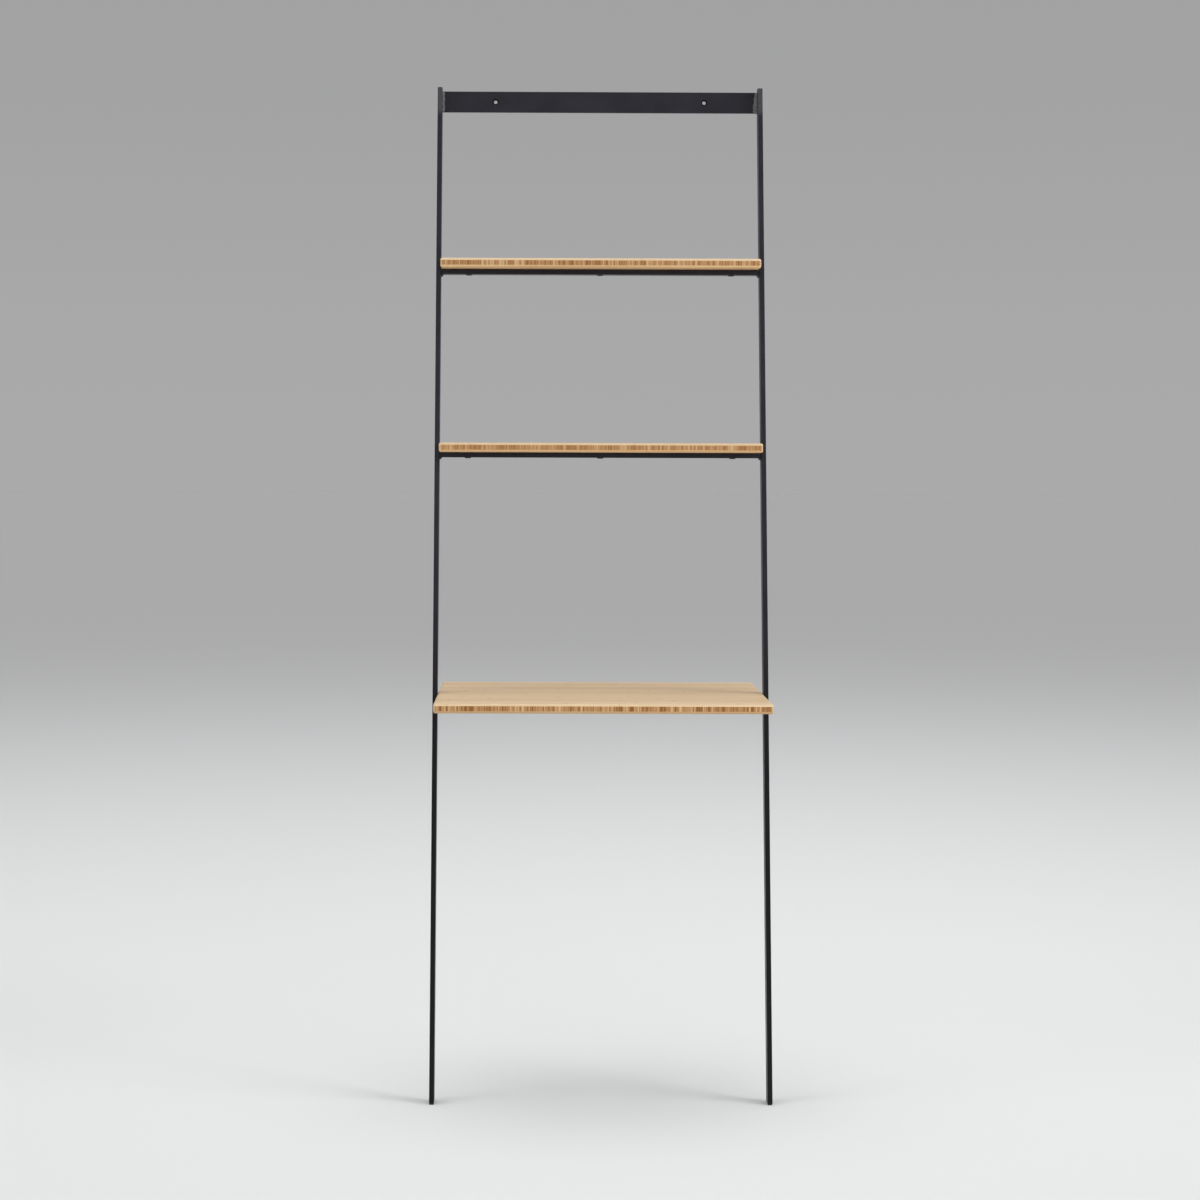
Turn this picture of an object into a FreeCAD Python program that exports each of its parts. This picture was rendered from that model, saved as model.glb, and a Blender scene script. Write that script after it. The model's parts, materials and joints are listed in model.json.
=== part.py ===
import FreeCAD, Part
import math
import os

# Ladder desk: two leaning flat-steel rails carry a bamboo desk and two bamboo shelves.
# Lengths are in millimetres and angles in degrees.
# +X is to the right of a person facing the desk, +Y is towards the wall, +Z is up.
# The origin is on the floor, midway between the rails and midway between the desk's front and the wall.

Vector = FreeCAD.Vector

# Levels: each is the height of a board's top above the one below it
desk_height = 745.0
desk_to_middle_shelf = 470.0
middle_to_top_shelf = 352.0
top_shelf_to_rail_top = 338.0

# Rails: flat bar on edge, leaning back to the wall
frame_width = 631.0
lean_angle = 10.7
rail_depth = 30.0
rail_thickness = 9.0
steel_edge_radius = 0.8
plumb_cut_margin = 4.0

# Feet
foot_pad_thickness = 3.0
foot_pad_inset = 0.5

# Wall plate and its screw holes
wall_plate_height = 40.0
wall_plate_thickness = 6.0
wall_plate_drop = 6.0
wall_hole_spacing = 406.4
wall_hole_diameter = 7.0
wall_hole_mouth_diameter = 12.0

# Flat bars and arms under the boards
bar_depth = 25.0
bar_thickness = 10.0
arm_front_setback = 112.0
arm_back_setback = 60.0

# Bamboo boards, pressed from two thin plies and a core
face_ply_thickness = 4.5
core_thickness = 9.0
board_edge_radius = 4.0
board_end_gap = 0.5
board_wall_gap = 7.0
desk_depth = 425.0
shelf_overhang = 40.0

# Screws that hold the boards down
screw_shank_diameter = 5.0
screw_head_diameter = 12.0
screw_head_height = 1.6
screw_head_rim_radius = 1.2
screw_socket_sides = 6
screw_socket_width = 3.0
screw_socket_depth = 1.2
screw_tip_length = 3.0
screw_tip_cover = 1.5
screw_hole_clearance = 0.5
screw_thread_clearance = 0.05
screw_hole_end_gap = 0.7
bar_screw_inset = 54.0
arm_screw_inset = 20.0

# Weld beads
plate_weld_leg = 7.0
bar_weld_leg = 4.0
weld_crown = 0.8
butt_weld_width = 8.0
butt_weld_height = 1.5

# Heights worked out from the sizes above
board_thickness = 2 * face_ply_thickness + core_thickness
middle_shelf_height = desk_height + desk_to_middle_shelf
top_shelf_height = middle_shelf_height + middle_to_top_shelf
rail_top = top_shelf_height + top_shelf_to_rail_top
plate_top = rail_top - wall_plate_drop
plate_bottom = plate_top - wall_plate_height
plumb_cut_bottom = plate_bottom - plumb_cut_margin

# Places across and along the desk
rail_inner_x = frame_width / 2 - rail_thickness
rail_middle_x = frame_width / 2 - rail_thickness / 2
wall_y = (desk_depth + board_wall_gap) / 2
board_back_y = wall_y - board_wall_gap
desk_front_y = board_back_y - desk_depth
board_end_x = rail_inner_x - board_end_gap
arm_inner_x = rail_inner_x - bar_depth
arm_middle_x = rail_inner_x - bar_depth / 2
arm_front_y = desk_front_y + arm_front_setback
arm_back_y = board_back_y - arm_back_setback

lean_slope = math.tan(math.radians(lean_angle))
rail_level_depth = rail_depth / math.cos(math.radians(lean_angle))

sides = {"left": -1, "right": 1}


def rail_back_y(height):
    """Back of a rail at a height: the back edge meets the wall at the foot of the plumb cut."""
    return wall_y - (plumb_cut_bottom - height) * lean_slope


def rail_middle_y(height):
    """Middle of a rail at a height."""
    return rail_back_y(height) - rail_level_depth / 2


def rail_front_y(height):
    """Front of a rail at a height."""
    return rail_back_y(height) - rail_level_depth


def block(low, high):
    """Plain block between two opposite corners."""
    size = high.sub(low)
    return Part.makeBox(size.x, size.y, size.z, low)


def flat_bar(low, high):
    """Bar between two opposite corners, with its long edges rounded as on rolled stock."""
    bar = block(low, high)
    size = high.sub(low)
    bar_length = max(size.x, size.y, size.z)
    long_edges = [edge for edge in bar.Edges if edge.Length > bar_length - steel_edge_radius]
    return bar.makeFillet(steel_edge_radius, long_edges)


def rail(side):
    """Leaning bar, sawn level at the floor pad and at the top, and plumb where it meets the wall."""
    stock_length = rail_top / math.cos(math.radians(lean_angle)) + 2 * rail_depth
    half = Vector(rail_thickness / 2, rail_depth / 2, stock_length / 2)
    stock = flat_bar(half.negative(), half)
    stock.rotate(Vector(0, 0, 0), Vector(1, 0, 0), -lean_angle)
    stock.translate(Vector(side * rail_middle_x, rail_middle_y(rail_top / 2), rail_top / 2))
    low = Vector(-frame_width, wall_y - stock_length, foot_pad_thickness)
    kept = block(low, Vector(frame_width, wall_y, rail_top))
    return stock.common(kept)


def foot_pad(side):
    """Thin pad under a rail, a little smaller than the rail's sawn end."""
    half_width = rail_thickness / 2 - foot_pad_inset
    front = rail_front_y(foot_pad_thickness) + foot_pad_inset
    back = rail_back_y(foot_pad_thickness) - foot_pad_inset
    low = Vector(side * rail_middle_x - half_width, front, 0)
    return block(low, Vector(side * rail_middle_x + half_width, back, foot_pad_thickness))


def countersunk_hole(x, height):
    """Cutter for one wall screw: a bore through the plate and a right-angled cone in its front."""
    front_y = wall_y - wall_plate_thickness
    bore_radius = wall_hole_diameter / 2
    mouth_radius = wall_hole_mouth_diameter / 2
    front = Vector(x, front_y, height)
    bore = Part.makeCylinder(bore_radius, wall_plate_thickness, front, Vector(0, 1, 0))
    cone_depth = mouth_radius - bore_radius
    cone = Part.makeCone(mouth_radius, bore_radius, cone_depth, front, Vector(0, 1, 0))
    return bore.fuse(cone)


def wall_plate():
    """Upright bar between the rail tops, with its back in the plane of the wall."""
    low = Vector(-rail_inner_x, wall_y - wall_plate_thickness, plate_bottom)
    plate = flat_bar(low, Vector(rail_inner_x, wall_y, plate_top))
    hole_height = (plate_bottom + plate_top) / 2
    for side in sides.values():
        plate = plate.cut(countersunk_hole(side * wall_hole_spacing / 2, hole_height))
    return plate


def fillet_weld(corner, first_way, second_way, run, leg):
    """Bead in an inside corner: two flat legs on the joined faces, and a crowned face between them."""
    first = corner.add(first_way * leg)
    second = corner.add(second_way * leg)
    outward = first_way.add(second_way)
    crown = corner.add(outward * (leg / 2 + weld_crown / outward.Length))
    face = Part.Arc(first, crown, second).toShape()
    legs = [Part.makeLine(corner, first), face, Part.makeLine(second, corner)]
    return Part.Face(Part.Wire(legs)).extrude(run)


def wall_plate_weld(side):
    """Upright bead between the front of the wall plate and the inside of a rail."""
    front_y = wall_y - wall_plate_thickness
    corner = Vector(side * rail_inner_x, front_y, plate_bottom + steel_edge_radius)
    run = Vector(0, 0, wall_plate_height - 2 * steel_edge_radius)
    return fillet_weld(corner, Vector(-side, 0, 0), Vector(0, -1, 0), run, plate_weld_leg)


def bar_end_weld(side, bar_top):
    """Bead under the end of a bar, between its underside and the inside of a rail."""
    bar_bottom = bar_top - bar_thickness
    run_length = bar_depth - 2 * steel_edge_radius
    start_y = bar_middle_y(bar_top) - run_length / 2
    corner = Vector(side * rail_inner_x, start_y, bar_bottom)
    run = Vector(0, run_length, 0)
    return fillet_weld(corner, Vector(-side, 0, 0), Vector(0, 0, -1), run, bar_weld_leg)


def desk_bar_weld(side, bar_top):
    """Low crowned bead over the butt joint of the desk bar and an arm, on their undersides."""
    bar_bottom = bar_top - bar_thickness
    run_length = bar_depth - 2 * steel_edge_radius
    start_y = bar_middle_y(bar_top) - run_length / 2
    near = Vector(side * arm_inner_x - butt_weld_width / 2, start_y, bar_bottom)
    far = Vector(side * arm_inner_x + butt_weld_width / 2, start_y, bar_bottom)
    crown = Vector(side * arm_inner_x, start_y, bar_bottom - butt_weld_height)
    face = Part.Arc(near, crown, far).toShape()
    section = Part.Face(Part.Wire([face, Part.makeLine(far, near)]))
    return section.extrude(Vector(0, run_length, 0))


def bar_middle_y(bar_top):
    """Middle of a bar that lies in the middle of the rails."""
    return rail_middle_y(bar_top - bar_thickness / 2)


def drilled(piece, places, radius, bottom, depth):
    """Piece with an upright hole at each place, from a height up."""
    for x, y in places:
        piece = piece.cut(Part.makeCylinder(radius, depth, Vector(x, y, bottom)))
    return piece


def cross_bar(end_x, bar_top, screw_places):
    """Flat bar between two ends, drilled for its screws."""
    middle_y = bar_middle_y(bar_top)
    low = Vector(-end_x, middle_y - bar_depth / 2, bar_top - bar_thickness)
    bar = flat_bar(low, Vector(end_x, middle_y + bar_depth / 2, bar_top))
    hole_radius = screw_shank_diameter / 2 + screw_hole_clearance
    return drilled(bar, screw_places, hole_radius, bar_top - bar_thickness, bar_thickness)


def desk_arm(side, bar_top, screw_places):
    """Flat bar under one end of the desk, against the inside of a rail, drilled for its screws."""
    inner = side * arm_inner_x
    outer = side * rail_inner_x
    low = Vector(min(inner, outer), arm_front_y, bar_top - bar_thickness)
    arm = flat_bar(low, Vector(max(inner, outer), arm_back_y, bar_top))
    hole_radius = screw_shank_diameter / 2 + screw_hole_clearance
    return drilled(arm, screw_places, hole_radius, bar_top - bar_thickness, bar_thickness)


def bar_screw_places(end_x, bar_top):
    """Three screws along a bar: one in the middle and one near each end."""
    outer_x = end_x - bar_screw_inset
    return [(x, bar_middle_y(bar_top)) for x in (-outer_x, 0, outer_x)]


def arm_screw_places(side):
    """Two screws along an arm, one near each end."""
    ends = (arm_front_y + arm_screw_inset, arm_back_y - arm_screw_inset)
    return [(side * arm_middle_x, y) for y in ends]


def board_plies(front_y, board_top, screw_places):
    """Face ply, core and back ply of one board: a block with eased edges, sliced level into its layers."""
    board_bottom = board_top - board_thickness
    low = Vector(-board_end_x, front_y, board_bottom)
    whole = block(low, Vector(board_end_x, board_back_y, board_top))
    eased = whole.makeFillet(board_edge_radius, whole.Edges)
    hole_radius = screw_shank_diameter / 2 + screw_thread_clearance
    eased = drilled(eased, screw_places, hole_radius, board_bottom, screw_bite() + screw_hole_end_gap)
    layers = {"back_ply": face_ply_thickness, "core": core_thickness, "face_ply": face_ply_thickness}
    plies = {}
    bottom = board_bottom
    for name, thickness in layers.items():
        top = bottom + thickness
        layer = block(Vector(-frame_width, front_y, bottom), Vector(frame_width, board_back_y, top))
        plies[name] = eased.common(layer)
        bottom = top
    return plies


def screw_bite():
    """Depth of a screw in its board: it stops a little below the face ply."""
    return face_ply_thickness + core_thickness - screw_tip_cover


def screw(x, y, bar_top):
    """Screw from below: round-rimmed head under the bar, shank through it, tip in the board's core."""
    shank_radius = screw_shank_diameter / 2
    head_radius = screw_head_diameter / 2
    rim = screw_head_rim_radius
    seat = bar_top - bar_thickness
    crown = seat - screw_head_height
    tip = bar_top + screw_bite()
    rim_middle = rim * (1 - math.sqrt(0.5))
    flat_edge = Vector(x + head_radius - rim, y, crown)
    rim_bulge = Vector(x + head_radius - rim_middle, y, crown + rim_middle)
    rim_top = Vector(x + head_radius, y, crown + rim)
    straight_part = [
        rim_top,
        Vector(x + head_radius, y, seat),
        Vector(x + shank_radius, y, seat),
        Vector(x + shank_radius, y, tip - screw_tip_length),
        Vector(x, y, tip),
        Vector(x, y, crown),
        flat_edge,
    ]
    outline = Part.makePolygon(straight_part).Edges
    outline.append(Part.Arc(flat_edge, rim_bulge, rim_top).toShape())
    section = Part.Face(Part.Wire(Part.__sortEdges__(outline)))
    body = section.revolve(Vector(x, y, 0), Vector(0, 0, 1))
    return body.cut(socket(Vector(x, y, crown)))


def socket(middle):
    """Cutter for a socket with flat sides, open below."""
    corner_radius = screw_socket_width / 2 / math.cos(math.pi / screw_socket_sides)
    corners = []
    for step in range(screw_socket_sides + 1):
        turn = math.tau * step / screw_socket_sides
        corners.append(middle.add(Vector(math.cos(turn), math.sin(turn), 0) * corner_radius))
    return Part.Face(Part.makePolygon(corners)).extrude(Vector(0, 0, screw_socket_depth))


def screws(places, bar_top):
    """Group of screws under one bar or pair of arms."""
    return Part.makeCompound([screw(x, y, bar_top) for x, y in places])


def shelf_nodes(name, board_top):
    """One shelf: its three plies, its bar, the welds at the bar's ends and its screws."""
    bar_top = board_top - board_thickness
    front_y = rail_front_y(bar_top) - shelf_overhang
    places = bar_screw_places(rail_inner_x, bar_top)
    plies = board_plies(front_y, board_top, places)
    nodes = {name + "_shelf_" + ply: shape for ply, shape in plies.items()}
    nodes[name + "_shelf_bar"] = cross_bar(rail_inner_x, bar_top, places)
    nodes[name + "_shelf_screws"] = screws(places, bar_top)
    for side_name, side in sides.items():
        nodes[side_name + "_" + name + "_bar_weld"] = bar_end_weld(side, bar_top)
    return nodes


def desk_nodes():
    """The desk: its three plies, the bar and two arms under it, their welds and their screws."""
    bar_top = desk_height - board_thickness
    bar_places = bar_screw_places(arm_inner_x, bar_top)
    arm_places = {name: arm_screw_places(side) for name, side in sides.items()}
    all_arm_places = arm_places["left"] + arm_places["right"]
    plies = board_plies(desk_front_y, desk_height, bar_places + all_arm_places)
    nodes = {"desk_" + ply: shape for ply, shape in plies.items()}
    nodes["desk_bar"] = cross_bar(arm_inner_x, bar_top, bar_places)
    nodes["desk_bar_screws"] = screws(bar_places, bar_top)
    nodes["desk_arm_screws"] = screws(all_arm_places, bar_top)
    for name, side in sides.items():
        nodes[name + "_desk_arm"] = desk_arm(side, bar_top, arm_places[name])
        nodes[name + "_desk_arm_weld"] = bar_end_weld(side, bar_top)
        nodes[name + "_desk_bar_weld"] = desk_bar_weld(side, bar_top)
    return nodes


def frame_nodes():
    """The rails, their foot pads, and the wall plate with its welds."""
    nodes = {"wall_plate": wall_plate()}
    for name, side in sides.items():
        nodes[name + "_rail"] = rail(side)
        nodes[name + "_foot_pad"] = foot_pad(side)
        nodes[name + "_wall_plate_weld"] = wall_plate_weld(side)
    return nodes


nodes = frame_nodes()
nodes.update(desk_nodes())
nodes.update(shelf_nodes("middle", middle_shelf_height))
nodes.update(shelf_nodes("top", top_shelf_height))

os.makedirs("parts", exist_ok=True)
for name, shape in nodes.items():
    shape.exportStep(os.path.join("parts", name + ".step"))
    print(name, "solids", len(shape.Solids), "volume", round(shape.Volume, 1), "valid", shape.isValid())
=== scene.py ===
# %% [markdown]
# # A ladder desk in black steel and bamboo
# Two flat steel rails lean against a wall. A deep bamboo board to work at and two shallow shelves sit
# between them, and a steel plate at the top takes two wall screws. The solids are finished already, so
# this lesson dresses them: it sets the camera and the light, lays the layers of each board, runs the weld
# beads and gives each material its grain.
#
# Everything is in metres, with x to the right, y towards the wall and z up from the floor.

# %% Load the finished solids
import json
import math

import bpy
import numpy as np
from mathutils import Matrix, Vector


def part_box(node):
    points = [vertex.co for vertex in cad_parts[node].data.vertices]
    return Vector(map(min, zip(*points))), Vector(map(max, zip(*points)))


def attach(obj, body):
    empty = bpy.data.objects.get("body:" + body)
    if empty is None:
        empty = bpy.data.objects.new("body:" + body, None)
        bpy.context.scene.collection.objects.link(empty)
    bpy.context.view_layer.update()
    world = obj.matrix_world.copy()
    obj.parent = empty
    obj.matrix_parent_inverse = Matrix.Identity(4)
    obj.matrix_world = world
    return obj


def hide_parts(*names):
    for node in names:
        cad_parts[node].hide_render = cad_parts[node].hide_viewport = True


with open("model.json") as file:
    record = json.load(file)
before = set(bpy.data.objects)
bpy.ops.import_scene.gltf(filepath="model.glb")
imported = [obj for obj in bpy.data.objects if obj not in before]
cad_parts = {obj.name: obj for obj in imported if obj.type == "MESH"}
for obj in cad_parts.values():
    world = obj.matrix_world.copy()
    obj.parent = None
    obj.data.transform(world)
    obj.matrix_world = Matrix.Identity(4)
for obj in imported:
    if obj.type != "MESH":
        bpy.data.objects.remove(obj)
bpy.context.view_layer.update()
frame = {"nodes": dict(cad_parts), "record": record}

nodes_by_name = frame["nodes"]

# %% [markdown]
# ## Camera
# The picture was taken from about chest height, a little left of the middle and more than four metres
# away, with a long lens. Blender could look at an empty with a constraint, but then the roll and the shift
# would be guesses. Here the station, the three small angles and the focal length are written as they were
# measured, and the axes of the camera follow from them.

# %% Camera axes from yaw, pitch and roll
picture_width = 1200.0
focal_length_in_pixels = 2331.2
lens_axis_pixel_x = 552.2
sensor_width = 36.0
camera_place = np.array([-0.1186, -4.3828, 1.1739])
yaw, pitch, roll = np.radians([0.357, 3.325, -0.184])

forward = np.array([np.sin(yaw) * np.cos(pitch), np.cos(yaw) * np.cos(pitch), -np.sin(pitch)])
level_right = np.array([np.cos(yaw), -np.sin(yaw), 0.0])
level_down = np.cross(forward, level_right)
picture_right = np.cos(roll) * level_right + np.sin(roll) * level_down
picture_down = np.cos(roll) * level_down - np.sin(roll) * level_right

lens = bpy.data.cameras.new("camera")
lens.sensor_width = sensor_width
lens.lens = focal_length_in_pixels / picture_width * sensor_width
lens.shift_x = 0.5 - lens_axis_pixel_x / picture_width
camera = bpy.data.objects.new("camera", lens)
station = np.eye(4)
station[:3] = np.column_stack([picture_right, -picture_down, -forward, camera_place])
camera.matrix_world = Matrix(station.tolist())
bpy.context.scene.collection.objects.link(camera)
bpy.context.scene.camera = camera
bpy.context.scene.view_settings.view_transform = "Standard"
print("camera: lens", round(lens.lens, 2), "mm, shift", round(lens.shift_x, 4))

# %% [markdown]
# ## Shader maths that reads like maths
# A material is a net of nodes, and written out link by link it is hard to follow. The Wire class stands for
# one output of a node, and its operators add Math nodes, so that `1 - mask` or `0.4 + 0.1 * grain` can be
# written as it is read. The Nodes class adds every other node with one method: the node's settings come
# first, because they decide which sockets there are, and then each socket gets a number, a colour or a
# wire. The nodes that this desk needs often have short names of their own.

# %% Wires
def find_socket(sockets, key):
    """The socket at a position, or the first one in use with that identifier or name."""
    if isinstance(key, int):
        return sockets[key]
    return next(socket for socket in sockets if key in (socket.identifier, socket.name) and socket.enabled)


class Wire:
    """One output of a node. Maths on wires adds Math nodes to the same net."""

    def __init__(self, nodes, socket):
        self.nodes = nodes
        self.socket = socket

    def also(self, output):
        """Another output of the same node."""
        return Wire(self.nodes, find_socket(self.socket.node.outputs, output))

    def __add__(self, other):
        return self.nodes.math("ADD", self, other)

    __radd__ = __add__

    def __sub__(self, other):
        return self.nodes.math("SUBTRACT", self, other)

    def __rsub__(self, other):
        return self.nodes.math("SUBTRACT", other, self)

    def __mul__(self, other):
        return self.nodes.math("MULTIPLY", self, other)

    __rmul__ = __mul__

    def __truediv__(self, other):
        return self.nodes.math("DIVIDE", self, other)

    def __pow__(self, other):
        return self.nodes.math("POWER", self, other)

    def __neg__(self):
        return self.nodes.math("SUBTRACT", 0.0, self)

    def __abs__(self):
        return self.nodes.math("ABSOLUTE", self)


print("wire:", sum(callable(member) for member in vars(Wire).values()), "methods, most of them operators")

# %% Nodes
class Nodes:
    """The node net of a material or of the world, emptied and then filled one node at a time."""

    def __init__(self, owner):
        owner.use_nodes = True
        self.tree = owner.node_tree
        self.tree.nodes.clear()

    def add(self, kind, settings=None, sockets=None, output=0):
        """Adds a node, sets its settings and then its sockets, and gives one of its outputs as a wire."""
        node = self.tree.nodes.new("ShaderNode" + kind)
        for setting, value in (settings or {}).items():
            setattr(node, setting, value)
        for key, value in (sockets or {}).items():
            socket = find_socket(node.inputs, key)
            if isinstance(value, Wire):
                self.tree.links.new(value.socket, socket)
            else:
                socket.default_value = value
        return Wire(self, find_socket(node.outputs, output)) if node.outputs else None

    def math(self, operation, *values):
        """One Math node on numbers or wires."""
        return self.add("Math", {"operation": operation}, dict(enumerate(values)))

    def smooth(self, value, low, high):
        """0 up to low, 1 from high on, and an even slope with soft ends between them."""
        ends = {"Value": value, "From Min": low, "From Max": high}
        return self.add("MapRange", {"interpolation_type": "SMOOTHSTEP"}, ends, "Result")

    def mix(self, share, first, second):
        """The first colour where share is 0, the second where it is 1."""
        colours = {"Factor_Float": share, "A_Color": first, "B_Color": second}
        return self.add("Mix", {"data_type": "RGBA"}, colours, "Result_Color")

    def place(self):
        """Where a point of the piece is, in the piece's own metres."""
        return self.add("TexCoord", output="Object")

    def split(self, vector):
        """The three parts of a vector, as wires."""
        x = self.add("SeparateXYZ", None, {"Vector": vector}, "X")
        return x, x.also("Y"), x.also("Z")

    def stretch(self, vector, scales):
        """A vector with each of its parts multiplied by its own scale."""
        return self.add("VectorMath", {"operation": "MULTIPLY"}, {0: vector, 1: scales}, "Vector")

    def noise(self, place, scale, detail=2.0):
        """Soft cloudy noise about 0.5, with scale bumps to the metre."""
        return self.add("TexNoise", None, {"Vector": place, "Scale": scale, "Detail": detail})

    def line_noise(self, number, scale, detail):
        """The same noise along one number, even in every other direction."""
        sockets = {"W": number, "Scale": scale, "Detail": detail}
        return self.add("TexNoise", {"noise_dimensions": "1D"}, sockets)

    def random(self, number):
        """A chance value from 0 to 1 that is the same wherever the number is the same."""
        return self.add("TexWhiteNoise", {"noise_dimensions": "1D"}, {"W": number}, "Value")

    def bump(self, height, strength, depth):
        """A normal tilted as if the height, from 0 to 1, stood up by that depth."""
        return self.add("Bump", None, {"Strength": strength, "Distance": depth, "Height": height})


def screen_colour(red, green, blue):
    """A colour given as it shows on a screen, from 0 to 255, as the linear light that a shader works in:
    the screen's curve has a straight foot and then follows a power."""
    screen = np.array([red, green, blue]) / 255.0
    linear = np.where(screen <= 0.04045, screen / 12.92, ((screen + 0.055) / 1.055) ** 2.4)
    return (*linear.tolist(), 1.0)


print("mid grey on a screen is", round(screen_colour(128, 128, 128)[0], 3), "of white in light")

# %% [markdown]
# ## Skinning rings
# The board layers, the weld beads and the foot pads are all made in one way: a stack of closed rings of
# points, joined by four-sided faces and closed by a flat face at each end. Modelling by hand would give the
# same shapes, but a ring is a formula, and a formula can be read, checked and changed.

# %% A mesh from a stack of rings
def ring_faces(rings):
    """Joins rings[k, i], point i of ring k, to its neighbours by four-sided faces, and closes both ends.

    The sign of the skin's volume, which is the sum of the boxes spanned by each face's corners, tells
    whether the rings run round the wrong way. If they do, each face is turned to look outwards."""
    points = rings.reshape(-1, 3)
    index = np.arange(len(points)).reshape(rings.shape[:2])
    following = np.roll(index, -1, axis=1)
    corners = [index[:-1], following[:-1], following[1:], index[1:]]
    quads = np.stack(corners, axis=-1).reshape(-1, 4)
    middle = points - points.mean(axis=0)
    a, b, c, d = (middle[quads[:, k]] for k in range(4))
    volume = np.einsum("ij,ij->", a, np.cross(b, c)) + np.einsum("ij,ij->", a, np.cross(c, d))
    ends = [index[0, ::-1].tolist(), index[-1].tolist()]
    if volume < 0:
        quads = quads[:, ::-1]
        ends = [end[::-1] for end in ends]
    return quads.tolist() + ends


def ring_object(name, rings):
    """An object with the skin of the rings, shaded smooth apart from the two flat ends."""
    mesh = bpy.data.meshes.new(name)
    mesh.from_pydata(rings.reshape(-1, 3).tolist(), [], ring_faces(rings))
    smooth = np.ones(len(mesh.polygons), dtype=bool)
    smooth[-2:] = False
    mesh.polygons.foreach_set("use_smooth", smooth)
    mesh.update()
    piece = bpy.data.objects.new(name, mesh)
    bpy.context.scene.collection.objects.link(piece)
    return piece


square = np.array([[0.0, 0.0], [1.0, 0.0], [1.0, 1.0], [0.0, 1.0]])
cube = np.stack([np.insert(square, 2, level, axis=1) for level in (0.0, 1.0)])
print("skin: two square rings make a cube of", len(ring_faces(cube)), "faces")

# %% [markdown]
# ## Floor, backdrop and light
# The studio is a pale floor that runs back and falls into a grey shade. A real sweep of paper does that by
# curving up, away from the lamps. Here the floor stays flat, so that it is out of the way of every camera,
# and its colour falls from pale to grey with distance along a soft bell curve. The world carries the same
# grey on upwards. The floor is pale by its own colour and not by more light, so it keeps the shadow of the
# desk. Under the desk it is a shade cooler, to take up the warm light that the bamboo throws down on it.
#
# The light is a dim dome, brighter towards the front, with a tall narrow softbox on each side and a wide
# one overhead. The side boxes are part of the world, a band of bearings that glows from near the floor up.
# A narrow band draws a thin shadow beside each foot, and because it is tall it smears the shadow of the
# desk away.

# %% Floor
floor_radius = 90.0
floor_spokes = 96
# The floor is painted paler to the right than to the left, as painted light from the brighter right-hand
# side
pale_floor_left = screen_colour(232, 234, 234)
pale_floor_right = screen_colour(236, 238, 238)
pale_floor_reach = 1.2
floor_under_desk = screen_colour(234, 238, 240)
under_desk_reach = 0.5
shaded_grey = screen_colour(170, 170, 171)
bell_width = 5.73
bell_steepness = 1.95

turns = np.linspace(0.0, 2.0 * np.pi, floor_spokes, endpoint=False)
circle = np.stack([np.cos(turns), np.sin(turns), np.zeros_like(turns)], axis=-1)
floor_mesh = bpy.data.meshes.new("studio_floor")
floor_mesh.from_pydata((floor_radius * circle).tolist(), [], [list(range(floor_spokes))])
floor = bpy.data.objects.new("studio_floor", floor_mesh)
bpy.context.scene.collection.objects.link(floor)
print("floor: radius", floor_radius, "m, half way to grey at about",
      round(bell_width * math.log(2.0) ** (1.0 / bell_steepness), 1), "m")

# %% Floor paint
floor_paint = bpy.data.materials.new("studio_floor")
net = Nodes(floor_paint)
place = net.place()
distance = net.add("VectorMath", {"operation": "LENGTH"}, {"Vector": place}, "Value")
paleness = net.math("EXPONENT", -(distance / bell_width) ** bell_steepness)
under_desk = net.math("EXPONENT", -(distance / under_desk_reach) ** 2.0)
rightness = net.smooth(net.split(place)[0], -pale_floor_reach, pale_floor_reach)
pale_floor = net.mix(rightness, pale_floor_left, pale_floor_right)
pale_floor = net.mix(under_desk, pale_floor, floor_under_desk)
sweep = net.mix(paleness, shaded_grey, pale_floor)
surface = net.add("BsdfDiffuse", None, {"Color": sweep})
net.add("OutputMaterial", None, {"Surface": surface})
floor_mesh.materials.append(floor_paint)
print("floor paint:", len(floor_paint.node_tree.nodes), "nodes")

# %% World
upper_grey = screen_colour(162, 162, 163)
upper_grey_height = 0.2
white = (1.0, 1.0, 1.0, 1.0)
dome_level = 0.43
dome_front_gain = 0.56
# Where the soft edges of a side box start and end: its foot and head as heights, where straight up is 1,
# and its sides in degrees off its bearing
strip_foot = (0.02, 0.12)
strip_head = (0.35, 0.61)
strip_edge = (7.0, 19.0)
# The strength of each side box, by its bearing in degrees from straight in front to the right
strip_glows = {69.0: 10.0, -68.0: 3.7}

world = bpy.data.worlds.new("studio")
bpy.context.scene.world = world
net = Nodes(world)
across, back, height = net.split(net.add("TexCoord", output="Generated"))
wall = net.mix(net.smooth(height, 0.0, upper_grey_height), shaded_grey, upper_grey)
ray = net.add("LightPath", output="Is Camera Ray")
seen = ray + ray.also("Is Glossy Ray") + ray.also("Is Transmission Ray")
strength = dome_level + dome_front_gain * net.math("MAXIMUM", -back, 0.0)
upright = net.smooth(height, *strip_foot) * (1.0 - net.smooth(height, *strip_head))
level_length = (across ** 2.0 + back ** 2.0) ** 0.5
for bearing, strip_glow in strip_glows.items():
    turn = math.radians(bearing)
    facing = (math.sin(turn) * across - math.cos(turn) * back) / level_length
    off_bearing = net.math("ARCCOSINE", facing) * (180.0 / math.pi)
    strength = strength + strip_glow * upright * (1.0 - net.smooth(off_bearing, *strip_edge))
glow = net.add("Background", None, {"Color": white, "Strength": strength})
backdrop = net.add("Background", None, {"Color": wall, "Strength": 1.0})
surface = net.add("MixShader", None, {0: seen, 1: glow, 2: backdrop})
net.add("OutputWorld", None, {"Surface": surface})
print("world: a dome and", len(strip_glows), "side boxes at", list(strip_glows), "degrees from the front")

# %% What the world gives a level white card
height_steps = 1000
bearing_step = 0.05


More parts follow.
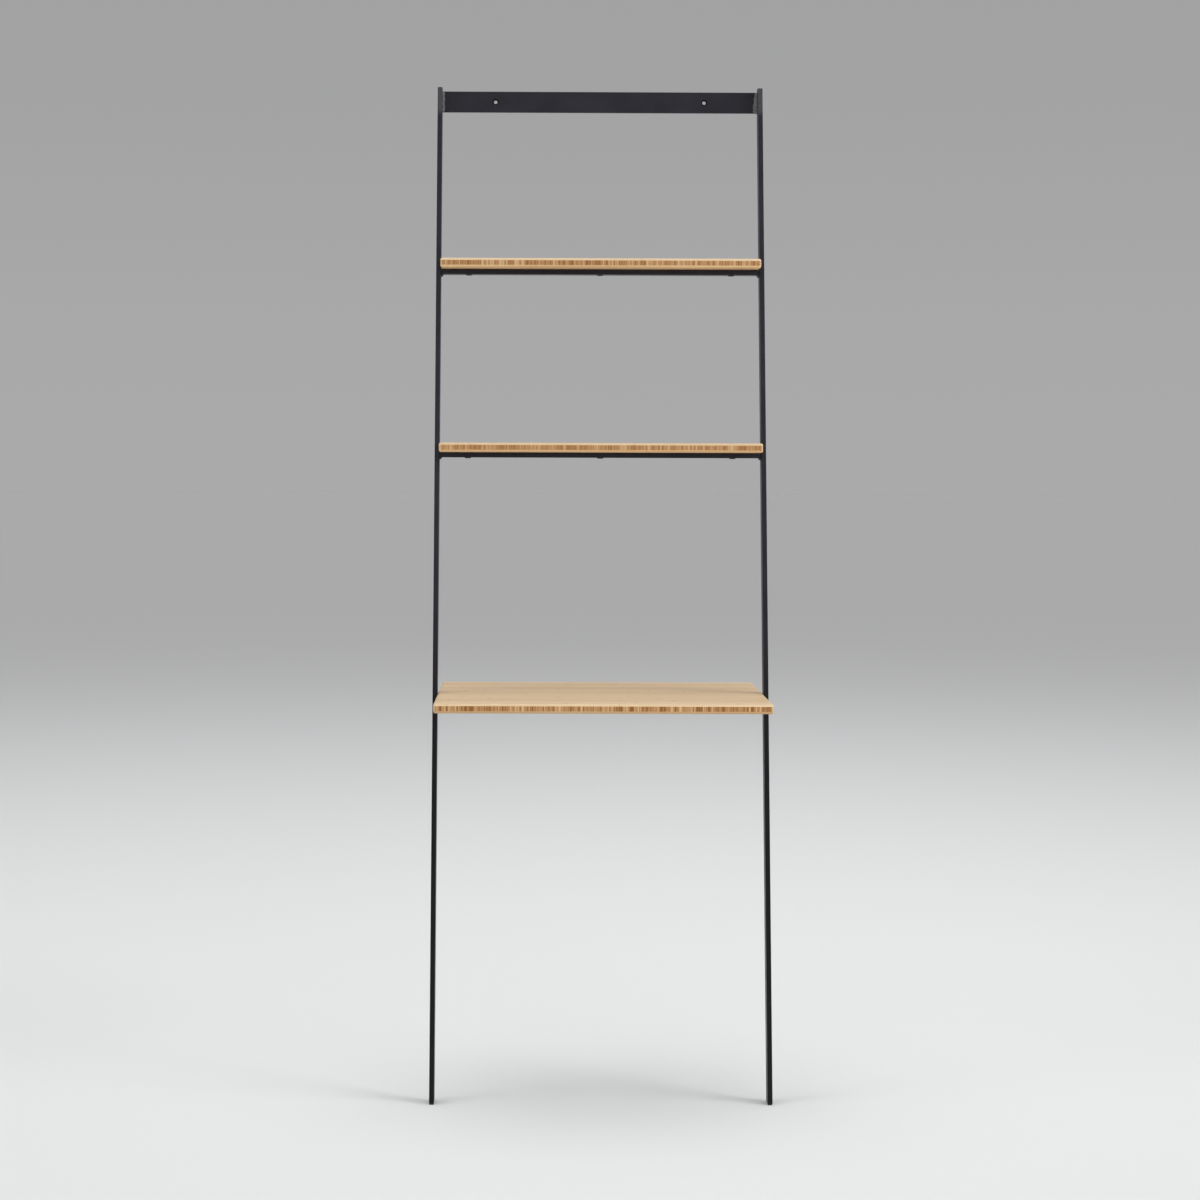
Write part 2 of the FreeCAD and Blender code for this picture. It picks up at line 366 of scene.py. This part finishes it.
def smooth_step(value, low, high):
    """The same soft slope from 0 to 1 that the shader's smooth uses, for numbers."""
    share = np.clip((value - low) / (high - low), 0.0, 1.0)
    return share * share * (3.0 - 2.0 * share)


# Over the whole sky a card gets all of the dome's level, and 2 / (3 pi) of what the front adds to it
dome_on_a_level_card = dome_level + dome_front_gain * 2.0 / (3.0 * math.pi)
heights = (np.arange(height_steps) + 0.5) / height_steps
bearings_off = np.arange(0.0, strip_edge[1], bearing_step)
strip_up = smooth_step(heights, *strip_foot) * (1.0 - smooth_step(heights, *strip_head))
strip_rise = np.mean(heights * strip_up)
strip_turn = 2.0 * np.radians(bearing_step) * np.sum(1.0 - smooth_step(bearings_off, *strip_edge))
strips_on_a_level_card = sum(strip_glows.values()) * strip_rise * strip_turn / math.pi
print("world: a level white card gets", round(dome_on_a_level_card, 3), "of white from the dome and",
      round(strips_on_a_level_card, 3), "from the side boxes")

# %% Overhead softbox, which makes up the rest
top_share = 1.0 - dome_on_a_level_card - strips_on_a_level_card
top_spread = 36.0
top_lean_back = 8.0
top_height = 4.0

lamp = bpy.data.lights.new("top_softbox", "SUN")
lamp.energy = top_share * math.pi
lamp.angle = math.radians(top_spread)
softbox = bpy.data.objects.new("top_softbox", lamp)
softbox.location = (0.0, 0.0, top_height)
softbox.rotation_euler = (-math.radians(top_lean_back), 0.0, 0.0)
bpy.context.scene.collection.objects.link(softbox)
print("overhead softbox: it gives a level white card", round(top_share, 3), "of white")

# %% [markdown]
# ## Board layers
# Each board is pressed from three layers of bamboo: a face, a core laid crossways and a back. The edges of
# the board are rounded over by a router after pressing. A box with a Bevel modifier would do, but the
# rounding belongs to the whole board, so a layer has it on one side only. As rings, a layer is a rounded
# rectangle whose inset and height follow the layer's own edge profile. Where two layers meet, a hair of an
# eased edge leaves the glue line that shows on the real edge.

# %% Rings of a layer
board_edge_radius = 0.004
glue_line_ease = 0.0002
flat_margin = 0.0015
least_corner_radius = 0.0001
arc_steps = 9


def edge_profile(low_z, high_z, lower_radius, upper_radius):
    """Inset and height up the edge: a quarter circle, a straight rise and another quarter circle, with one
    more ring on the flat at each end."""
    turn = np.linspace(0.0, np.pi / 2.0, arc_steps)
    lower_inset = lower_radius * (1.0 - np.sin(turn))
    lower_height = low_z + lower_radius * (1.0 - np.cos(turn))
    upper_inset = upper_radius * (1.0 - np.cos(turn))
    upper_height = high_z - upper_radius * (1.0 - np.sin(turn))
    first, last = lower_radius + flat_margin, upper_radius + flat_margin
    inset = np.concatenate([[first], lower_inset, upper_inset, [last]])
    height = np.concatenate([[low_z], lower_height, upper_height, [high_z]])
    return inset, height


def slab_rings(low, high, lower_radius, upper_radius, corner_radius):
    """Rounded rectangles, one for each step of the edge profile. Each corner is a quarter circle about a
    centre that moves in with the inset once the inset has used up the corner's radius."""
    inset, height = edge_profile(low[2], high[2], lower_radius, upper_radius)
    turn = np.linspace(0.0, np.pi / 2.0, arc_steps) + np.arange(4)[:, None] * np.pi / 2.0
    radius = np.maximum(corner_radius - inset, least_corner_radius)[:, None, None]
    centre = inset[:, None, None] + radius
    to_right = np.array([1, 0, 0, 1])[:, None]
    to_back = np.array([1, 1, 0, 0])[:, None]
    x = np.where(to_right, high[0] - centre, low[0] + centre) + radius * np.cos(turn)
    y = np.where(to_back, high[1] - centre, low[1] + centre) + radius * np.sin(turn)
    z = np.broadcast_to(height[:, None, None], x.shape)
    return np.stack([x, y, z], axis=-1).reshape(len(inset), -1, 3)


print("layer:", 2 * arc_steps + 2, "rings of", 4 * arc_steps, "points")

# %% Lay the nine layers
def dress(piece, node):
    """The piece stands for that solid and rides with it."""
    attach(piece, "root")
    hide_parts(node)
    return piece


boards = ["desk", "middle_shelf", "top_shelf"]
layer_edges = {
    "back_ply": (board_edge_radius, glue_line_ease),
    "core": (glue_line_ease, glue_line_ease),
    "face_ply": (glue_line_ease, board_edge_radius),
}
layers = {}
for board in boards:
    for layer, (lower_radius, upper_radius) in layer_edges.items():
        node = f"{board}_{layer}"
        low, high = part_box(node)
        rings = slab_rings(low, high, lower_radius, upper_radius, board_edge_radius)
        piece = ring_object(f"{board}_{layer}_bamboo", rings)
        layers[board, layer] = dress(piece, node)
print("layers:", len(layers), "of", len(piece.data.polygons), "faces each")

# %% [markdown]
# ## Weld beads
# The steel is welded by hand, and at the ends of the wall plate the beads show: lumpy, ragged at the toes
# and rippled where each drop of metal froze on the last. A bead could be sculpted, or a noise could
# displace a prism. Here it is a surface with two parameters, along the joint and across the bead, so the
# ripples bow across it and pile up along it as they do on a real one.

# %% Rings of a bead
mm_per_metre = 1000.0
ripple_pitch = 0.0021
ripple_height = 0.0004
ripple_bow = 1.2
pitch_wander = 0.05
pitch_waves = 2.0
toe_wander = 0.14
toe_waves = (3.0, 4.0)
lump_height = 0.00035
broad_lump_waves = 5.0
broad_lump_middle = 0.3
short_lump_waves = 9.0
short_lump_pivot = 0.4
end_width = 0.45
end_bluntness = 10
crest_fade = 0.6
bead_steps_per_ripple = 8
across_steps = 13
wave_speeds = np.array([1.0, 2.3, 4.1])
wave_heights = np.array([0.55, 0.3, 0.2])


def waves(rng, along, cycles):
    """A column that wanders between about -1 and 1: a few sine waves with chance phases, each faster and
    lower than the last."""
    phases = rng.uniform(0.0, 2.0 * np.pi, len(wave_speeds))
    turns = 2.0 * np.pi * cycles * wave_speeds * along + phases
    return (wave_heights * np.sin(turns)).sum(axis=1, keepdims=True)


def bead_rings(seed, start, end, legs, out, widths, crown, growth=0.0):
    """A bead from start to end along the inside corner of a joint.

    At a share t along the joint and v across the bead, the point is the corner, plus (1 - v) of the first
    leg, plus v of the second leg, plus a bulge outwards that follows half a sine wave across the bead. Each
    leg wanders in width, grows by the given share from start to end and draws in at both ends. The bulge is
    the crown, the ripples (half circles in a row, bowed across the bead) and slow lumps. The second array
    is the ripple's height at each point, as a share that fades from the first leg's toe to the second's."""
    rng = np.random.default_rng(seed)
    start, end, out = np.array(start), np.array(end), np.array(out)
    ripples = np.linalg.norm(end - start) / ripple_pitch
    t = np.linspace(0.0, 1.0, int(ripples * bead_steps_per_ripple))[:, None]
    v = np.linspace(0.0, 1.0, across_steps)
    drawn_in = end_width + (1.0 - end_width) * np.sqrt(1.0 - np.abs(2.0 * t - 1.0) ** end_bluntness)
    swell = drawn_in * (1.0 + growth * (t - 0.5))
    first_width = widths[0] * swell * (1.0 + toe_wander * waves(rng, t, toe_waves[0]))
    second_width = widths[1] * swell * (1.0 + toe_wander * waves(rng, t, toe_waves[1]))
    phase = ripples * (t + pitch_wander * waves(rng, t, pitch_waves)) + ripple_bow * (v - 0.5) ** 2
    ripple = np.sqrt(1.0 - (2.0 * (phase % 1.0) - 1.0) ** 2)
    lump = waves(rng, t, broad_lump_waves) * np.cos(np.pi * (v - broad_lump_middle))
    lump = lump + waves(rng, t, short_lump_waves) * (v - short_lump_pivot)
    bulge = (crown + ripple_height * ripple + lump_height * lump) * np.sin(np.pi * v) * drawn_in
    corner = (start + t * (end - start))[:, None, :]
    face = corner + bulge[..., None] * out
    face = face + ((1.0 - v) * first_width)[..., None] * np.array(legs[0])
    face = face + (v * second_width)[..., None] * np.array(legs[1])
    # The crest share also sets where the weld's colour is painted pale as a highlight; it fades across the
    # bead from the first leg to the second
    crest = np.pad(ripple * (1.0 - crest_fade * v), ((0, 0), (1, 0)))
    return np.concatenate([corner, face], axis=1), crest


print("bead: a ripple every", mm_per_metre * ripple_pitch, "mm, in", bead_steps_per_ripple, "steps")

# %% Run the beads
half_root = math.sqrt(0.5)
side_seeds = {"left": 3, "right": 8}
seed_step = 20
# Widths on the two pieces that a bead joins, in the order of its legs
plate_bead_widths = {"left": (0.0044, 0.0066), "right": (0.0071, 0.0066)}
plate_bead_growth = {"left": 0.15, "right": 0.55}
plate_bead_crown = 0.0008
bar_bead_widths = (0.0042, 0.004)
bar_bead_crown = 0.0006
butt_bead_widths = (0.004, 0.004)
butt_bead_crown = 0.0012
beads = []


def run_bead(node, seed, *shape):
    """One bead in place of a plain weld solid. Its ripples go along as an attribute, for its finish."""
    rings, crest = bead_rings(seed, *shape)
    bead = ring_object(f"{node}_bead", rings)
    bead.data.attributes.new("crest", "FLOAT", "POINT").data.foreach_set("value", crest.ravel())
    beads.append(dress(bead, node))


for side, inward in [("left", 1.0), ("right", -1.0)]:
    seed = side_seeds[side]
    node = f"{side}_wall_plate_weld"
    low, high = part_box(node)
    corner_x = low.x if side == "left" else high.x
    run_bead(
        node, seed, (corner_x, high.y, high.z), (corner_x, high.y, low.z),
        [(inward, 0.0, 0.0), (0.0, -1.0, 0.0)], (inward * half_root, -half_root, 0.0),
        plate_bead_widths[side], plate_bead_crown, plate_bead_growth[side])
    for place_name in ["top_bar", "middle_bar", "desk_arm"]:
        seed += seed_step
        node = f"{side}_{place_name}_weld"
        low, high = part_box(node)
        corner_x = low.x if side == "left" else high.x
        run_bead(
            node, seed, (corner_x, low.y, high.z), (corner_x, high.y, high.z),
            [(inward, 0.0, 0.0), (0.0, 0.0, -1.0)], (inward * half_root, 0.0, -half_root),
            bar_bead_widths, bar_bead_crown)
    node = f"{side}_desk_bar_weld"
    low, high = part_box(node)
    joint_x = (low.x + high.x) / 2.0
    run_bead(
        node, seed + seed_step, (joint_x, low.y, high.z), (joint_x, high.y, high.z),
        [(-1.0, 0.0, 0.0), (1.0, 0.0, 0.0)], (0.0, 0.0, -1.0), butt_bead_widths, butt_bead_crown)
print("beads:", len(beads), "with", sum(len(bead.data.polygons) for bead in beads), "faces")

# %% [markdown]
# ## Foot pads
# A thin pad of dark rubber is stuck under each rail, so that the steel does not mark the floor. A scaled
# cube would have knife edges, so a pad is one more slab of rings, with its edges eased as a moulded pad's
# are.

# %% Foot pads
pad_edge_radius = 0.0006
pad_corner_radius = 0.0014
pads = []
for side in ["left", "right"]:
    node = f"{side}_foot_pad"
    low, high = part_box(node)
    rings = slab_rings(low, high, pad_edge_radius, pad_edge_radius, pad_corner_radius)
    pads.append(dress(ring_object(f"{node}_rubber", rings), node))
print("pads:", len(pads))

# %% [markdown]
# ## Black powder coat
# The frame is sprayed with black powder and baked. The coat is near black with a breath of blue, satin
# rather than glossy, and its skin has a fine orange peel. A flat black would look like a hole in the
# picture, so the colour drifts slowly along the steel, the gloss drifts with it and a fine noise lifts the
# skin. Towards the feet the coat is painted a deeper, plainer black, as painted shade where the steel
# shows less light. At the rail tops, beside the plate welds, it lies over ground and spattered steel and
# is paler and coarser. In the mouths of the wall holes the steel is dull, and its colour is painted dark
# as painted shade in the recess.

# %% Powder coat: colours and places
coat_black = screen_colour(38, 37, 44)
coat_worn = screen_colour(44, 43, 50)
# Painted shade colours: the deeper black low down and the dark in the mouths of the wall holes
painted_low_shade_black = screen_colour(12, 12, 13)
coat_rough_grey = screen_colour(72, 72, 77)
painted_hole_shade_black = screen_colour(8, 8, 9)
painted_low_shade_share = 0.85
painted_low_shade_heights = (0.45, 1.15)

# The soft edges of the spattered zone, which starts just inside the rails and just below the plate
rail_inner_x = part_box("right_rail")[0].x
plate_foot_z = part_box("wall_plate")[0].z
spatter_zone_x = (rail_inner_x - 0.0065, rail_inner_x + 0.0005)
spatter_zone_z = (plate_foot_z - 0.011, plate_foot_z + 0.003)

wall_holes = next(mount for mount in frame["record"]["mounts"] if mount["name"] == "wall_holes")
hole_x = wall_holes["dims"]["spacing_x_mm"] / mm_per_metre / 2.0
hole_z = wall_holes["pos_m"][2]
hole_mouth_edge = (0.0056, 0.0062)
print("coat: spatter above", round(spatter_zone_z[0], 3), "m, wall holes at", hole_x, "m to each side")

# %% Powder coat: the finish
coat_gloss = 0.2
coat_drift_scale = 18.0
coat_grain_scale = 1400.0
coat_grain_weight = 0.4
worn_patch_edge = (0.3, 0.7)
spatter_scale = 420.0
spatter_edge = (0.35, 0.65)
least_spatter = 0.6
coat_roughness = 0.33
drift_roughness = 0.14
spatter_roughness = 0.10
hole_roughness = 0.45
orange_peel_scale = 620.0
spatter_relief = 2.0
coat_bump = (0.25, 0.0003)


def finish_with(net, colour, roughness, normal, **constants):
    """A Principled shader with the varying parts linked and the even ones set on its own sockets."""
    sockets = {"Base Color": colour, "Roughness": roughness, "Normal": normal}
    sockets.update({name.replace("_", " "): value for name, value in constants.items()})
    shader = net.add("BsdfPrincipled", None, sockets)
    net.add("OutputMaterial", None, {"Surface": shader})


def powder_coat():
    """Black that drifts to worn black, is painted deeper towards the floor as painted shade, greys by the
    plate welds and is dull in the wall holes, with painted shade in their mouths, under a skin of orange
    peel."""
    material = bpy.data.materials.new("black_powder_coat")
    net = Nodes(material)
    place = net.place()
    x, _, z = net.split(place)
    drift = net.noise(place, coat_drift_scale, detail=3.0)
    grain = net.noise(place, coat_grain_scale)
    patches = net.smooth(drift + coat_grain_weight * (grain - 0.5), *worn_patch_edge)
    colour = net.mix(patches, coat_black, coat_worn)
    # Painted shade: the coat is darkened towards the floor
    painted_low_shade = painted_low_shade_share * (1.0 - net.smooth(z, *painted_low_shade_heights))
    colour = net.mix(painted_low_shade, colour, painted_low_shade_black)
    spots = net.smooth(net.noise(place, spatter_scale, detail=3.0), *spatter_edge)
    spatter_zone = net.smooth(abs(x), *spatter_zone_x) * net.smooth(z, *spatter_zone_z)
    spatter = spatter_zone * (least_spatter + (1.0 - least_spatter) * spots)
    colour = net.mix(spatter, colour, coat_rough_grey)
    # Painted shade: the mouths of the wall holes are darkened, and also made duller
    from_hole = ((abs(x) - hole_x) ** 2.0 + (z - hole_z) ** 2.0) ** 0.5
    hole_shade_and_dullness = 1.0 - net.smooth(from_hole, *hole_mouth_edge)
    colour = net.mix(hole_shade_and_dullness, colour, painted_hole_shade_black)
    roughness = coat_roughness + drift_roughness * drift
    roughness = roughness + spatter_roughness * spatter + hole_roughness * hole_shade_and_dullness
    skin = net.noise(place, orange_peel_scale, detail=1.0) + spatter_relief * spatter
    finish_with(net, colour, roughness, net.bump(skin, *coat_bump), Specular_IOR_Level=coat_gloss)
    return material


black_powder_coat = powder_coat()
print("coat:", black_powder_coat.name, "of", len(black_powder_coat.node_tree.nodes), "nodes")

# %% [markdown]
# ## Painted weld
# The same coat covers the beads. Its colour is painted pale on the crests of the ripples and dark in the
# grooves, as painted highlight and painted shade. A noise alone would make the bead look like stone, so
# the colour reads the ripples that the bead's own formula left on its points. The plate's beads, up at the
# rail tops, are painted greyer than the steel beside them, as a painted highlight. The ones under the bars
# are black.

# %% Painted weld
# Painted highlight and shade: pale crests, dark pits, and a paler grey for the beads at the plate
weld_crest_highlight_grey = screen_colour(106, 106, 108)
weld_pit_shade_grey = screen_colour(68, 68, 72)
weld_crest_highlight_black = screen_colour(40, 40, 43)
weld_pit_shade_black = screen_colour(22, 22, 24)
plate_weld_height = 1.8
weld_grain_scale = 1500.0
weld_grain_weight = 0.5
weld_pit_scale = 330.0
weld_pit_weight = 0.4
weld_crest_edge = (0.1, 0.95)
weld_roughness = 0.34
weld_pit_roughness = 0.22
weld_bump = (0.3, 0.0003)


def painted_weld():
    """Painted pale on the crests of the ripples and dark in the pits, as painted highlight and shade, and
    painted grey as a highlight on the plate and black below it.
    """
    material = bpy.data.materials.new("painted_weld")
    net = Nodes(material)
    place = net.place()
    grain = net.noise(place, weld_grain_scale, detail=3.0)
    pits = net.noise(place, weld_pit_scale)
    ripple = net.add("Attribute", {"attribute_name": "crest"}, output="Fac")
    crest = ripple + weld_grain_weight * (grain - 0.5) + weld_pit_weight * (pits - 0.5)
    crest = net.smooth(crest, *weld_crest_edge)
    plate_bead_highlight = net.mix(crest, weld_pit_shade_grey, weld_crest_highlight_grey)
    under_the_bars = net.mix(crest, weld_pit_shade_black, weld_crest_highlight_black)
    at_the_plate = net.math("GREATER_THAN", net.split(place)[2], plate_weld_height)
    colour = net.mix(at_the_plate, under_the_bars, plate_bead_highlight)
    roughness = weld_roughness + weld_pit_roughness * pits
    finish_with(net, colour, roughness, net.bump(grain, *weld_bump))
    return material


coat_on_welds = painted_weld()
print("weld:", coat_on_welds.name, "of", len(coat_on_welds.node_tree.nodes), "nodes")

# %% [markdown]
# ## Bamboo
# A bamboo board is glued up from split and planed strips of the cane's wall. Along a strip run fine fibres,
# and every hand's breadth or two a darker band marks where a joint of the cane was. On the face the strips
# lie flat and run the length of the board. In the core they stand on edge and run from front to back, so
# the long edge of the board shows their ends: narrow stripes, pale on the inside of the cane wall and brown
# on the outside. The desk's core is browner than the shelves', whose strips are more alike. The rounded
# upper edge is painted a shade duller than the face, as painted shade that tones down its highlight.
#
# A picture of wood wrapped round the board would slide at the edges. A solid pattern does not: its colour
# is worked out from the place in the board, so a fibre that is a line on the face is a dot on the end.

# %% Strips in the solid
# Bumps to the metre along the strip, across it and up
fibre_scales = (14.0, 1500.0, 1500.0)
streak_scales = (4.0, 320.0, 320.0)
uneven_scale = 70.0
longest_slide = 3.0
# Added to a strip's number, each gives the strip a chance value of its own
slide_draw = 0.37
flip_draw = 0.71


def strips(net, turn, shift, strip_width, wander):
    """The pattern's wires: a point's lane is its place across the grain, counted in strip widths. The whole
    part of the lane numbers the strip, and the rest is the place in the strip. Each strip slides along its
    grain by a chance length, so that no two share their marks."""
    place = net.place()
    turned = net.add("Mapping", None, {"Vector": place, "Rotation": (0.0, 0.0, turn), "Location": shift})
    along, across, up = net.split(turned)
    uneven = net.line_noise(across, uneven_scale, detail=1.0)
    lane = (across + wander * (uneven - 0.5)) / strip_width
    strip = net.math("FLOOR", lane)
    slid = along + longest_slide * net.random(strip + slide_draw)
    grain = net.add("CombineXYZ", None, {"X": slid, "Y": across, "Z": up})
    return {
        "place": place, "grain": grain, "along": slid, "across": across,
        "strip": strip, "in_strip": lane - strip, "tone": net.random(strip),
        "fibre": net.noise(net.stretch(grain, fibre_scales), 1.0),
        "streak": net.noise(net.stretch(grain, streak_scales), 1.0),
    }


print("strips: a fibre is about", round(fibre_scales[1] / fibre_scales[0]), "times as long as it is thick")

# %% Rounded upper edge
def round_the_edge(net, place, low, high):
    """0 on the flats and 1 half way round the rounded upper edge: the sine of twice the angle round it,
    which is twice the product of what is left of the radius inwards and downwards, both as shares."""
    x, y, z = net.split(place)
    inset = net.math("MINIMUM", high.x - abs(x), net.math("MINIMUM", y - low.y, high.y - y))
    left_inwards = net.math("MAXIMUM", 1.0 - inset / board_edge_radius, 0.0)
    left_downwards = net.math("MAXIMUM", 1.0 - (high.z - z) / board_edge_radius, 0.0)
    return 2.0 * left_inwards * left_downwards


dullest_inset = mm_per_metre * board_edge_radius * (1.0 - half_root)
print("upper edge: dullest", round(dullest_inset, 2), "mm in from the side")

# %% Bamboo face and back
# The shade of a pale strip, of a warm strip and of the streaks in both
face_shades = [screen_colour(239, 213, 176), screen_colour(224, 194, 151), screen_colour(208, 172, 128)]
back_shades = [screen_colour(226, 190, 142), screen_colour(211, 171, 122), screen_colour(195, 152, 103)]
# The desk's back layer is painted darker than the shelves', as painted shade on the desk's lower edge
desk_back_painted_shade_tones = [screen_colour(210, 176, 132), screen_colour(196, 159, 113), screen_colour(181, 141, 96)]
cane_joint_brown = screen_colour(176, 135, 90)
# Painted shade on the rounded upper edge, to tone down its highlight
edge_shade_grey = screen_colour(203, 180, 149)
oil_gloss = 0.3
face_strip_width = 0.0205
streak_edge = (0.35, 0.75)
streak_share = 0.5
fibre_edge = (0.45, 0.75)
fibre_share = 0.35
cane_joint_spacing = 0.31
cane_joint_ragged = 0.004
cane_joint_edge = (0.0006, 0.0050)
cane_joint_share = 0.2
seam_edge = (0.492, 0.5)
seam_share = 0.45
edge_shade_share = 0.5
ply_roughness = 0.38
ply_fibre_roughness = 0.12
seam_depth = 0.6
cane_joint_rise = 0.5
ply_bump = (0.10, 0.0002)


def bamboo_ply(name, shift, shades, edge_shade_box=None):
    """Strips laid flat, with streaks, fibres, cane joints and glue seams, and an upper edge painted duller,
    as painted shade on its highlight, where the layer's box is given."""
    material = bpy.data.materials.new(name)
    net = Nodes(material)
    wood = strips(net, 0.0, shift, face_strip_width, 0.0)
    pale, warm, streaked = shades
    colour = net.mix(wood["tone"], pale, warm)
    colour = net.mix(streak_share * net.smooth(wood["streak"], *streak_edge), colour, streaked)
    colour = net.mix(fibre_share * net.smooth(wood["fibre"], *fibre_edge), colour, streaked)
    ragged = wood["along"] + cane_joint_ragged * (wood["streak"] - 0.5)
    from_joint = abs(net.math("FRACT", ragged / cane_joint_spacing) - 0.5) * cane_joint_spacing
    cane_joint = 1.0 - net.smooth(from_joint, *cane_joint_edge)
    colour = net.mix(cane_joint_share * cane_joint, colour, cane_joint_brown)
    seam = net.smooth(abs(wood["in_strip"] - 0.5), *seam_edge)
    colour = net.mix(seam_share * seam, colour, cane_joint_brown)
    # Painted shade: the rounded upper edge is dulled in colour to tone down its highlight
    if edge_shade_box:
        painted_edge_shade = round_the_edge(net, wood["place"], *edge_shade_box)
        colour = net.mix(edge_shade_share * painted_edge_shade, colour, edge_shade_grey)
    roughness = ply_roughness + ply_fibre_roughness * wood["fibre"]
    height = wood["fibre"] - seam_depth * seam + cane_joint_rise * cane_joint
    finish_with(net, colour, roughness, net.bump(height, *ply_bump), Specular_IOR_Level=oil_gloss)
    return material


print("face: strips of", mm_per_metre * face_strip_width, "mm, a cane joint every", cane_joint_spacing, "m")

# %% Bamboo core
core_pale = screen_colour(211, 179, 138)
core_mid = screen_colour(180, 135, 87)
core_brown = screen_colour(137, 88, 40)
core_red = screen_colour(168, 114, 70)
core_strip_width = 0.0036
core_strip_wander = 0.005
quarter_turn = math.pi / 2.0
# Neighbours are often alike, so a slow noise along the board browns and reddens whole clusters
cluster_scale = 34.0
cluster_weight = 0.6
outside_weight = 0.6
mid_edge = (-0.1, 0.4)
brown_edge = (0.5, 1.15)
red_edge = (0.52, 0.68)
bundle_scales = (20.0, 1500.0, 1500.0)
bundle_edge = (0.15, 0.4)
bundle_share = 0.35
# In from the end of the board
last_strip_edge = (0.0036, 0.0024)
last_strip_share = 0.8
core_roughness = 0.42
core_fibre_roughness = 0.14
bundle_relief = 0.6
core_bump = (0.15, 0.0002)


def bamboo_core(name, shift, half_length, browner_by, redder_by, evened_by):
    """Strips on edge, each pale on one side and brown on the other, with the dots of the fibre bundles. The
    last strip at each end of the board lies with its pale side out."""
    material = bpy.data.materials.new(name)
    net = Nodes(material)
    wood = strips(net, quarter_turn, shift, core_strip_width, core_strip_wander)
    cluster = net.line_noise(wood["across"], cluster_scale, detail=2.0)
    flip = net.math("GREATER_THAN", net.random(wood["strip"] + flip_draw), 0.5)
    outside = abs(flip - wood["in_strip"])
    depth = wood["tone"] + outside_weight * (outside - 0.5) + cluster_weight * (cluster - 0.5) + browner_by
    colour = net.mix(net.smooth(depth, *mid_edge), core_pale, core_mid)
    colour = net.mix(net.smooth(depth, *brown_edge), colour, core_brown)
    colour = net.mix(redder_by * net.smooth(cluster, *red_edge), colour, core_red)
    bundle_place = net.stretch(wood["grain"], bundle_scales)
    bundles = net.add("TexVoronoi", None, {"Vector": bundle_place, "Scale": 1.0}, "Distance")
    colour = net.mix(bundle_share * (1.0 - net.smooth(bundles, *bundle_edge)), colour, core_brown)
    colour = net.mix(evened_by, colour, core_mid)
    from_middle = abs(net.split(wood["place"])[0])
    last_strip = net.smooth(from_middle, *(half_length - inset for inset in last_strip_edge))
    colour = net.mix(last_strip_share * last_strip, colour, core_pale)
    roughness = core_roughness + core_fibre_roughness * wood["fibre"]
    height = wood["fibre"] + bundle_relief * bundles
    finish_with(net, colour, roughness, net.bump(height, *core_bump), Specular_IOR_Level=oil_gloss)
    return material


print("core: strips of", mm_per_metre * core_strip_width, "mm on edge")

# %% Put the bamboo on the layers
browner = {"desk": 0.12, "middle_shelf": 0.0, "top_shelf": 0.0}
redder = {"desk": 0.08, "middle_shelf": 0.3, "top_shelf": 0.3}
evened = {"desk": 0.0, "middle_shelf": 0.26, "top_shelf": 0.1}
# How far the pattern moves from one layer to the next, so that no two layers are cut from the same place
pattern_step = (0.83, 0.517, 0.0)

for number, ((board, layer), piece) in enumerate(layers.items()):
    shift = tuple(step * number for step in pattern_step)
    low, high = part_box(f"{board}_{layer}")
    if layer == "core":
        finish = bamboo_core(piece.name, shift, high.x, browner[board], redder[board], evened[board])
    elif layer == "face_ply":
        finish = bamboo_ply(piece.name, shift, face_shades, (low, high))
    else:
        finish = bamboo_ply(piece.name, shift, desk_back_painted_shade_tones if board == "desk" else back_shades)
    piece.data.materials.append(finish)
print("bamboo finishes:", len(layers))

# %% [markdown]
# ## Screws and rubber
# The boards are held by black steel screws from below, with a thin oiled black skin that lets the metal's
# shine through. The pads are plain black rubber with a fine moulded grain. Both are small, so one even
# colour might pass, but a little bloom on the steel and a grain on the rubber tell them from the coat.

# %% Blackened screws
screw_black = screen_colour(30, 30, 30)
screw_bright = screen_colour(56, 55, 54)
screw_metal = 0.7
bloom_scale = 500.0
bloom_edge = (0.4, 0.7)
screw_roughness = 0.30
bloom_roughness = 0.18
turning_scale = 2600.0
turning_bump = (0.15, 0.0002)


def blackened_screw():
    """Black steel with a cloudy bloom where the metal shines through, and fine marks of turning."""
    material = bpy.data.materials.new("blackened_screw")
    net = Nodes(material)
    place = net.place()
    bloom = net.noise(place, bloom_scale, detail=3.0)
    colour = net.mix(net.smooth(bloom, *bloom_edge), screw_black, screw_bright)
    normal = net.bump(net.noise(place, turning_scale, detail=1.0), *turning_bump)
    finish_with(net, colour, screw_roughness + bloom_roughness * bloom, normal, Metallic=screw_metal)
    return material


black_screw = blackened_screw()
print("screws:", black_screw.name)

# %% Moulded rubber
rubber_black = screen_colour(20, 20, 20)
rubber_grey = screen_colour(31, 31, 31)
rubber_grain_scale = 1800.0
rubber_roughness = 0.70
rubber_grain_roughness = 0.15
rubber_bump = (0.4, 0.0002)


def moulded_rubber():
    """Dull black rubber with the grain of its mould."""
    material = bpy.data.materials.new("moulded_rubber")
    net = Nodes(material)
    grain = net.noise(net.place(), rubber_grain_scale)
    colour = net.mix(grain, rubber_black, rubber_grey)
    roughness = rubber_roughness + rubber_grain_roughness * grain
    finish_with(net, colour, roughness, net.bump(grain, *rubber_bump))
    return material


pad_rubber = moulded_rubber()
print("pads:", pad_rubber.name)

# %% Put the finishes on the steel, the screws, the beads and the pads
slot_finishes = {"black_steel": black_powder_coat, "screw": black_screw}
for node_object in nodes_by_name.values():
    for material_slot in node_object.material_slots:
        plain = material_slot.material
        material_slot.material = slot_finishes.get(plain.name, plain)
for bead in beads:
    bead.data.materials.append(coat_on_welds)
for pad in pads:
    pad.data.materials.append(pad_rubber)
print("finishes:", sorted(finish.name for finish in bpy.data.materials if finish.users))

# %% [markdown]
# ## Size
# The dressed desk has to stay the size of its solids.
